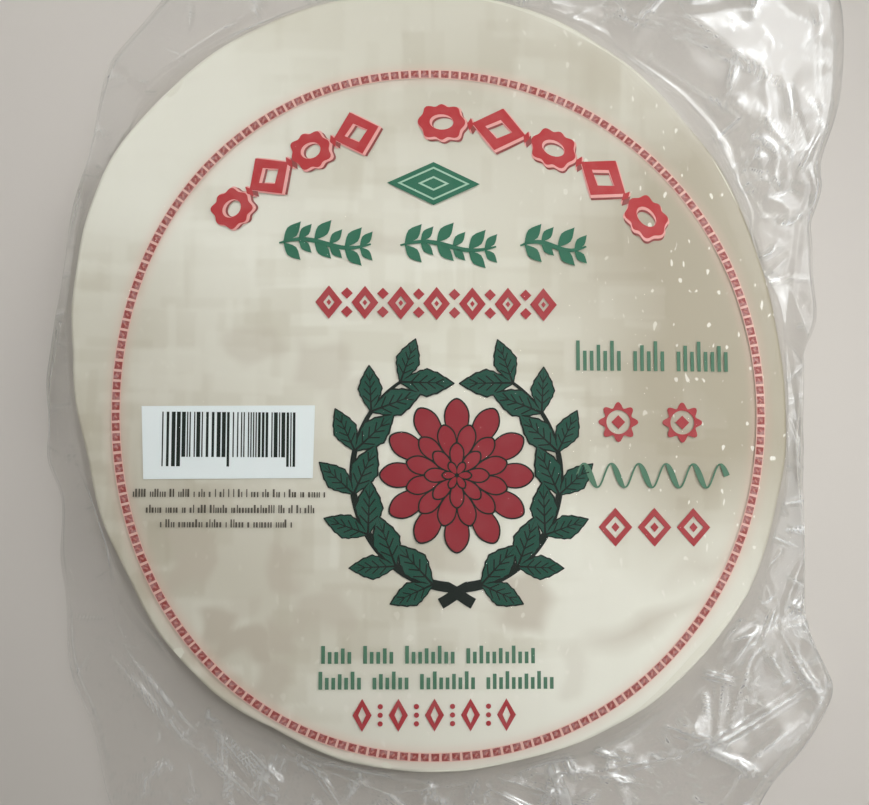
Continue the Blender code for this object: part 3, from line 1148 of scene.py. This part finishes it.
def ink(name, colour, uneven, scale=INK_PATCHES):
    """Ink of one colour that is mixed with white by the share `uneven` where it is thin."""
    material, tree = start_material(name)
    thin = [c + (1 - c) * uneven for c in colour]
    shade = mixed(tree, stepped(tree, cloudy(tree, scale, 2.0), *INK_THIN), (*colour, 1), (*thin, 1))
    return finish_material(material, add(tree, "BsdfPrincipled", Base_Color=shade,
                                         Roughness=INK_ROUGHNESS, Specular_IOR_Level=INK_GLOSS))


RED = ink("ink_red", (0.49, 0.032, 0.038), 0.03)
BRICK = ink("ink_brick", (0.41, 0.036, 0.045), 0.03)
DEEP_RED = ink("ink_deep_red", (0.29, 0.014, 0.025), 0.012)
MAROON = ink("ink_maroon", (0.30, 0.060, 0.055), 0.05)
RING_RED = ink("ink_ring_red", (0.33, 0.062, 0.056), 0.20, RING_MOTTLE)
FADED_RED = ink("ink_faded_red", (0.56, 0.22, 0.19), 0.10, RING_MOTTLE)
PALE_RED = ink("ink_pale_red", (0.84, 0.41, 0.38), 0.08)
BLUSH = ink("ink_blush", (0.80, 0.52, 0.45), 0.08)
GREEN = ink("ink_green", (0.022, 0.160, 0.092), 0.012)
SAGE = ink("ink_sage", (0.075, 0.200, 0.125), 0.02)
PALE_GREEN = ink("ink_pale_green", (0.36, 0.60, 0.46), 0.05)
LEAF_GREEN = ink("ink_leaf_green", (0.008, 0.080, 0.052), 0.008)
DARK = ink("ink_dark", (0.006, 0.014, 0.010), 0.005)
FINE_DARK = ink("ink_fine_dark", (0.095, 0.085, 0.065), 0.03)
WHITE = ink("ink_white", (0.84, 0.93, 0.95), 0.06)
print(len([material for material in bpy.data.materials if material.name.startswith("ink_")]), "inks")

# %% [markdown]
# ### The ring
#
# A border of small squares runs round the print: a pale red band with some two hundred darker
# squares on it. The ring is a slightly tall oval, so equal steps of angle would crowd the squares
# on its flat sides. The oval is walked in fine steps first, and the squares are set at equal
# distances along it, each with a small faded mark across it.

# %% Ring
RING_SQUARES = 206
RING_STEPS = 4000
RING_BAND = 1.30
SQUARE = (2.24, 2.12)
MARK = (1.0, 0.5)


def ring_walk(count):
    """Points and directions at equal distances along the ring."""
    fine = np.linspace(0, tau, RING_STEPS + 1)
    px, py = ring_reach(fine) * np.cos(fine), ring_reach(fine) * np.sin(fine)
    walked = np.concatenate([[0], np.cumsum(np.hypot(np.diff(px), np.diff(py)))])
    turns = np.degrees(np.arctan2(np.gradient(py), np.gradient(px)) % tau)
    for along in np.arange(count) / count * walked[-1]:
        spot = int(np.searchsorted(walked, along))
        yield px[spot], py[spot], turns[spot]


ring_band, ring_squares, ring_marks = bmesh.new(), bmesh.new(), bmesh.new()
band(ring_band, lambda a: ring_reach(a) - RING_BAND, lambda a: ring_reach(a) + RING_BAND,
     at(*RING_MIDDLE), 400)
for rx, ry, turn in ring_walk(RING_SQUARES):
    bar(ring_squares, *SQUARE, at(*RING_MIDDLE) @ at(rx, ry, turn))
    bar(ring_marks, *MARK, at(*RING_MIDDLE) @ at(rx, ry, turn + 45))
print("ring of", len(ring_squares.faces), "squares")

# %% [markdown]
# ### Red ornaments
#
# The heading is an arc of heavy red ornaments in two groups: scalloped flowers and lozenges, each
# with a hole, and small lozenges between them. A pale line and a dark edge follow each to its lower
# right, as on old poster print; they are the same shape once more, slipped a little and laid lower.

# %% Heading
# The arc is part of an oval, given by its half width and half height.
ARC_REACH = (82.6, 84.4)
# Groups on the arc: first and last direction in degrees, how many ornaments, and half their width.
ARC_GROUPS = ((142.0, 102.4, 4, 6.0), (95.6, 36.6, 5, 7.0))
HEADING_HALF = 5.4
# Layers of the heading: how much the shape grows, and how far it slips to the lower right.
FACE, PALE_EDGE, DARK_EDGE, HALO = (0.0, 0.0), (0.15, 0.55), (0.10, 1.05), (0.45, 0.45)
reds, bricks, pales, maroons, halos = (bmesh.new() for _ in range(5))


def heading_outlines(kind, half_width):
    """The outer outline and the hole of one ornament: 0 is a scalloped flower, 1 a lozenge."""
    if kind == 0:
        outer = lobed(cushion_reach(half_width, HEADING_HALF, 2.5), 8, 0.07)
        return outer, cushion_reach(half_width * 0.5, 2.3, 2)
    return lozenge_reach(half_width * 1.15, HEADING_HALF * 1.2), lozenge_reach(half_width * 0.58, 2.9)


def heading_ornament(place, kind, half_width):
    outer, hole = heading_outlines(kind, half_width)
    for bm, (grow, slip) in ((reds, FACE), (pales, PALE_EDGE), (maroons, DARK_EDGE), (halos, HALO)):
        spot = place @ at(slip, -slip)
        band(bm, lambda a: max(hole(a) - grow, 0.2), lambda a: outer(a) + grow, spot, 64)


for first, last, count, half_width in ARC_GROUPS:
    step = (first - last) / count
    for i in range(2 * count - 1):
        angle = first - step * (i + 1) / 2
        place = at(ARC_REACH[0] * cos(radians(angle)), ARC_REACH[1] * sin(radians(angle)), angle - 90)
        if i % 2 == 0:
            heading_ornament(place, i // 2 % 2, half_width)
        else:
            for bm, (grow, slip) in ((reds, FACE), (maroons, DARK_EDGE), (halos, HALO)):
                lozenge(bm, 0.95 + grow, 1.9 + grow, place @ at(slip, -slip))
print("heading of", sum(count for _, _, count, _ in ARC_GROUPS), "large ornaments")

# %% [markdown]
# The smaller red rows are brick red and flat: a straight row of pierced and paired lozenges under
# the arc, two round marks and three lozenges at the right, and a row at the foot.

# %% Brick red rows
for i, (x, y) in enumerate(row_places(-1.0, 30.4, 67.6, 13)):
    if i % 2 == 0:
        lozenge_ring(bricks, (1.6, 2.1), (3.9, 4.9), at(x, y))
        lozenge(bricks, 0.7, 0.9, at(x, y))
    else:
        for lift in (2.7, -2.7):
            lozenge(bricks, 1.7, 1.7, at(x, y + lift))


def ring_mark(bm, x, y, size, petals):
    """A small ring with a waved edge and a lozenge in it."""
    band(bm, lambda a: size * 0.58, lambda a: size * (0.84 + 0.14 * cos(petals * a)), at(x, y), 64)
    lozenge(bm, size * 0.34, size * 0.34, at(x, y), 16)


for x in (51.8, 70.6):
    ring_mark(bricks, x, -3.8, 6.0, 8)
for x in (50.6, 62.0, 73.4):
    lozenge_ring(bricks, (2.9, 3.2), (4.9, 5.6), at(x, -34.2))
    lozenge(bricks, 1.2, 1.4, at(x, -34.2))
for i, (x, y) in enumerate(row_places(-1.6, -87.3, 46, 9)):
    if i % 2 == 0:
        lozenge_ring(bricks, (1.1, 2.4), (2.7, 4.6), at(x, y))
    else:
        for lift in (2.4, 0, -2.4):
            patch(bricks, filled(cushion_reach(0.75, 0.75, 2)), at(x, y + lift), 10)
print("brick red rows:", len(bricks.faces), "faces")

# %% [markdown]
# ### Green ornaments
#
# Under the heading hangs a green lozenge with pale lines in it. The line below it is brushwork:
# three twigs lying on their sides, with slim leaves that lean forward. The fine rows are uprights of
# changing height in groups, like a counting tally, and one line is a single wave of a broad nib,
# thin on the way up and thick on the way down.

# %% Green print
EMBLEM = (-1.9, 65.9)
# Twigs: middle x and y, width, and how many pairs of leaves.
SPRIGS = ((-33.4, 47.6, 26.5, 6), (2.4, 47.4, 28.0, 6), (33.2, 47.8, 19.5, 4))
SPRIG_SWAY = 1.2
TALLY_HEIGHTS = (1.0, 0.66, 0.66, 0.86, 0.66)
TALLY_STROKE = 1.05
TALLY_GAP = 1.4
NIB_WAVES = 5.5
greens, sages, pale_greens = (bmesh.new() for _ in range(3))


def sprig(bm, x, y, width, pairs):
    """A brushed twig lying on its side, with slim leaves leaning forward on both sides."""
    def stem(t):
        return width * (t - 0.5), SPRIG_SWAY * sin(tau * t)
    strip(bm, stem, lambda t: 0.25 + 0.45 * sin(pi * t), at(x, y), 24)
    for i in range(pairs):
        foot = at(x, y) @ at(*stem((i + 0.25) / pairs))
        small = 1 - 0.25 * (i % 2)
        for lean, length, leaf_width in ((50, 8.0, 3.6), (-46, 7.4, 3.4)):
            patch(bm, leaf(length * small, leaf_width * small, 0.9), foot @ at(0, 0, lean), 20)


for twig in SPRIGS:
    sprig(greens, *twig)

lozenge(greens, 13.6, 6.4, at(*EMBLEM))
lozenge_ring(pale_greens, (9.4, 4.4), (10.6, 5.0), at(*EMBLEM))
lozenge_ring(pale_greens, (3.4, 1.6), (4.6, 2.2), at(*EMBLEM))


def tally(bm, x, y, width, groups, height):
    """A row of uprights in groups, tall and short by turns."""
    step = width / (sum(groups) + TALLY_GAP * (len(groups) - 1))
    along, number = x - width / 2, 0
    for group in groups:
        for _ in range(group):
            tall = height * TALLY_HEIGHTS[number % len(TALLY_HEIGHTS)]
            bar(bm, TALLY_STROKE, tall, at(along + step / 2, y - (height - tall) / 2))
            along += step
            number += 1
        along += TALLY_GAP * step


tally(sages, 62.0, 15.6, 45.6, (7, 5, 8), 8.8)
tally(sages, -3.3, -70.4, 61.5, (5, 5, 8, 11), 5.0)
tally(sages, -1.0, -77.6, 67.5, (7, 6, 9, 11), 5.0)
strip(sages, lambda t: (44 * t, 3.4 * sin(tau * NIB_WAVES * t)),
      lambda t: 0.26 + 0.62 * max(0.0, -cos(tau * NIB_WAVES * t)), at(39.5, -19.3), 150)
print("twigs and emblem:", len(greens.faces), "faces, fine rows:", len(sages.faces), "faces")

# %% [markdown]
# ### The rosette in its wreath
#
# The middle of the print is a rosette of layered petals in a wreath of toothed leaves, drawn as a
# woodcut: a dark shape below, and a slightly smaller coloured one on it, so that a dark line is
# left round each petal and leaf. Everything is placed by turning one petal or one leaf round the
# middle, and the wreath is mirrored. Its two stems cross at the foot.

# %% Rosette and wreath
PICTURE = (4.8, -19.5)
# Rows of petals: how many, start, length and width in mm, and the turn of the first.
PETAL_ROWS = ((12, 9.4, 12.6, 8.3, 0), (12, 5.4, 9.4, 6.0, 15), (8, 2.0, 7.2, 4.6, 0),
              (6, 0.5, 3.6, 2.4, 30))
PETAL_LINE = 0.42
LEAF_PAIRS = 7
WREATH = (30.0, 32.0)
WREATH_SWEEP = 165
LEAF_LENGTH, LEAF_WIDTH, LEAF_LINE = 15.0, 7.6, 0.5
outlines, veins, leaves = bmesh.new(), bmesh.new(), bmesh.new()


def petal(length, width, grow):
    """A broad petal, slightly pointed, grown by the width of its outline."""
    def bend(x, y):
        wide = y * (width / 2 + grow) * (0.80 + 0.20 * x)
        return (x + 1) * length / 2 + grow * x, wide * (1 - 0.30 * max(0, x) ** 3)
    return bend


rosette = []
for row, (count, start, length, width, first) in enumerate(PETAL_ROWS):
    rim, face = bmesh.new(), bmesh.new()
    patch(rim, filled(cushion_reach(start + 0.45 * length, start + 0.45 * length, 2)), at(*PICTURE), 48)
    for i in range(count):
        spot = at(*PICTURE, first + 90 + i * 360 / count) @ at(start, 0)
        patch(rim, petal(length, width, PETAL_LINE), spot, 28)
        patch(face, petal(length, width, -0.1), spot, 28)
    rosette.append((rim, face))


def wreath_leaf(place):
    """A toothed leaf with its dark outline, midrib and side veins."""
    patch(outlines, leaf(LEAF_LENGTH + 2.4 * LEAF_LINE, LEAF_WIDTH + 2 * LEAF_LINE, 0.72, 6),
          place @ at(-LEAF_LINE, 0), 48)
    patch(leaves, leaf(LEAF_LENGTH, LEAF_WIDTH, 0.78, 6), place, 48)
    strip(veins, lambda t: (LEAF_LENGTH * 0.95 * t, 0), lambda t: 0.32 * (1.1 - t), place, 4)
    for share in (0.2, 0.36, 0.52, 0.68):
        for side in (1, -1):
            strip(veins, lambda t: (LEAF_LENGTH * share + 2.4 * t, side * 2.9 * (1.1 - share) * t),
                  lambda t: 0.20, place, 3)


def on_wreath(turn):
    return PICTURE[0] + WREATH[0] * cos(turn), PICTURE[1] + WREATH[1] * sin(turn)


def wreath_stem(side):
    """The wreath's stem, from its foot past the middle line up to its tip."""
    def line(t):
        x, y = on_wreath(radians(-90 + side * (WREATH_SWEEP * t - 9)))
        return x, y - 5 * max(0, 0.08 - t) / 0.08
    return line


for side in (1, -1):
    strip(outlines, wreath_stem(side), lambda t: 1.6 - 1.2 * t, Matrix(), 60)
    for i in range(LEAF_PAIRS):
        angle = -90 + side * WREATH_SWEEP * (i + 0.6) / (LEAF_PAIRS + 0.4)
        foot = at(*on_wreath(radians(angle)))
        for lean, size in ((34, 1.0), (-38, 0.86)):
            wreath_leaf(foot @ at(0, 0, angle + side * (90 + lean), size))

# %% [markdown]
# ### The white panel
#
# At the left a white panel carries a row of upright bars, with lines of fine broken print under it.
# The bars get their widths from a seeded random draw, so they spell nothing.

# %% White panel, bars and fine lines
PANEL_WIDTH, PANEL_HEIGHT = 48.6, 20.9
PANEL_PLACE = at(-60.5, -10.3, 0.6)
PANEL_TAPER = 0.014
BARS_LEFT, BARS_RIGHT, BARS_TOP = -79.3, -41.5, -1.7
BAR_LONG, BAR_SHORT = 15.6, 12.9
BAR_WIDTHS, BAR_GAPS = (0.36, 0.36, 0.72, 1.08), (0.36, 0.36, 0.72, 0.9)
# Broken lines: middle x, foot and width.
FINE_LINES = ((-60.0, -26.0, 54.0), (-59.6, -30.5, 47.2), (-60.4, -34.6, 37.6))
DASH_WIDTHS, DASH_GAPS = (0.32, 0.42, 0.55), (0.30, 0.34, 0.34, 1.1)
panel, bars, fine_print = bmesh.new(), bmesh.new(), bmesh.new()
bar(panel, PANEL_WIDTH, PANEL_HEIGHT, Matrix())
for vert in panel.verts:
    vert.co.x *= 1 + PANEL_TAPER * (1 if vert.co.y > 0 else -1)
bmesh.ops.transform(panel, matrix=PANEL_PLACE, verts=panel.verts)

bar_rng = np.random.default_rng(77)
bar_x, bar_number = BARS_LEFT, 0
while bar_x < BARS_RIGHT:
    width = bar_rng.choice(BAR_WIDTHS)
    in_middle = abs(bar_x - (BARS_LEFT + BARS_RIGHT) / 2) < 0.8
    is_long = bar_number < 4 or bar_x > BARS_RIGHT - 3.4 or in_middle
    height = BAR_LONG if is_long else BAR_SHORT
    bar(bars, width, height, at(bar_x + width / 2, BARS_TOP - height / 2))
    bar_x += width + bar_rng.choice(BAR_GAPS)
    bar_number += 1

for middle, foot, line_width in FINE_LINES:
    dash_x = middle - line_width / 2
    while dash_x < middle + line_width / 2:
        width = bar_rng.choice(DASH_WIDTHS)
        height = bar_rng.choice((1.5, 1.5, 2.3))
        bar(fine_print, width, height, at(dash_x, foot + height / 2))
        dash_x += width + bar_rng.choice(DASH_GAPS)

# %% [markdown]
# ### Laying the ink
#
# The flat shapes are complete now, and each ink becomes one piece. Dark outlines and halos lie
# lowest, faces and lines on top, and the rows of petals are stacked from the outside inwards.

# %% Lay all the ink under the film
ink_piece("ring_band", ring_band, BLUSH, UNDER)
ink_piece("ring_squares", ring_squares, RING_RED, INK)
ink_piece("ring_marks", ring_marks, FADED_RED, OVER)
ink_piece("red_print", reds, RED, OVER)
ink_piece("brick_print", bricks, BRICK, INK)
ink_piece("pale_edges", pales, PALE_RED, INK)
ink_piece("dark_red_edges", maroons, MAROON, UNDER)
ink_piece("halos", halos, PALE_RED, BACK)
ink_piece("green_print", greens, GREEN, INK)
ink_piece("sage_print", sages, SAGE, INK)
ink_piece("emblem_lines", pale_greens, PALE_GREEN, OVER)
ink_piece("leaf_outlines", outlines, DARK, BACK)
ink_piece("leaves", leaves, LEAF_GREEN, UNDER)
ink_piece("leaf_veins", veins, DARK, INK)
for row, (rim, face) in enumerate(rosette):
    depth = BACK - ROW_STEP * row
    ink_piece(f"petal_outlines_{row}", rim, DARK, depth)
    ink_piece(f"petals_{row}", face, DEEP_RED, depth - ROW_STEP / 2)
ink_piece("panel", panel, WHITE, UNDER)
ink_piece("panel_bars", bars, DARK, INK)
ink_piece("fine_print", fine_print, FINE_DARK, INK)

# %% [markdown]
# ## Floor and light
#
# The studio is a plain pale floor under a broad soft lamp at the top right, near enough that the
# light falls off across the pack, and a weaker one behind. The rest of the room is an even warm
# sky, which fills the shadows. Clear film is nearly all gloss and paper is all matt, so the two are
# lit apart: two weak pools light only what is matt, and four cool lamps show only in gloss. The
# film's bright facets are simply those lamps, seen in them.

# %% Floor
FLOOR_COLOUR = (0.615, 0.588, 0.556, 1)
FLOOR_SIDE = 6.0
floor_grid = bmesh.new()
bmesh.ops.create_grid(floor_grid, x_segments=1, y_segments=1, size=FLOOR_SIDE / 2)
material, tree = start_material("floor")
matt = add(tree, "BsdfPrincipled", Base_Color=FLOOR_COLOUR, Roughness=0.7, Specular_IOR_Level=0.2)
floor = new_object("floor", floor_grid, finish_material(material, matt))
floor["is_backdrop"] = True
print("floor", FLOOR_SIDE, "m wide")

# %% Lights
SKY = (1.0, 0.968, 0.920, 1)
SKY_STRENGTH = 0.288
DAYLIGHT = (1.0, 0.993, 0.972)
SHEEN = (0.93, 0.97, 1.0)
# Lamps: name, place and target in metres, side, spread in degrees, power, and what they light.
LAMPS = (
    ("window", (0.78, 0.45, 1.00), (0.10, 0.05, 0), 0.9, 180, 3.85, "all"),
    ("far window", (-0.46, 0.68, 0.76), (0, 0.1, 0), 0.7, 180, 1.34, "all"),
    ("pool", (0.22, 0.05, 1.00), (0.135, -0.02, 0), 0.30, 30, 0.20, "matte"),
    ("small pool", (-0.20, 0.28, 0.95), (-0.12, 0.16, 0), 0.30, 30, 0.12, "matte"),
    ("sheen", (0.86, 0.78, 1.00), (0.08, 0.08, 0), 0.9, 180, 8.3, "gloss"),
    ("door", (0.95, -0.25, 0.90), (0.08, -0.08, 0), 0.8, 180, 3.8, "gloss"),
    ("glint", (0.50, 0.55, 0.80), (0.05, 0.05, 0), 0.08, 180, 0.35, "gloss"),
    ("spark", (0.75, 0.95, 0.75), (-0.03, -0.08, 0), 0.10, 180, 1.8, "gloss"),
)


def add_lamp(name, place, target, side, spread, power, lights):
    data = bpy.data.lights.new(name, "AREA")
    data.size = side
    data.spread = radians(spread)
    data.energy = power
    data.color = SHEEN if lights == "gloss" else DAYLIGHT
    lamp = bpy.data.objects.new(name, data)
    turn = (Vector(target) - Vector(place)).to_track_quat("-Z", "Y")
    lamp.matrix_world = Matrix.LocRotScale(Vector(place), turn, None)
    lamp.visible_glossy = lights != "matte"
    lamp.visible_diffuse = lights != "gloss"
    bpy.context.scene.collection.objects.link(lamp)


for lamp in LAMPS:
    add_lamp(*lamp)
print(len(LAMPS), "lamps")
world = bpy.data.worlds.new("studio")
world.use_nodes = True
background = world.node_tree.nodes["Background"]
background.inputs["Color"].default_value = SKY
background.inputs["Strength"].default_value = SKY_STRENGTH
bpy.context.scene.world = world
bpy.context.scene.view_settings.view_transform = "Standard"

# %% [markdown]
# ## Sizes
#
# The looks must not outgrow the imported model, so the boxes of both are written down.

# %% Sizes, for comparison
boxes = {"cad": cad_box, "visual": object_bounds()}
{name: [list(corner) for corner in box] for name, box in boxes.items()}
for name, box in boxes.items():
    print(name, [round(side / MM, 1) for side in box[1] - box[0]], "mm")
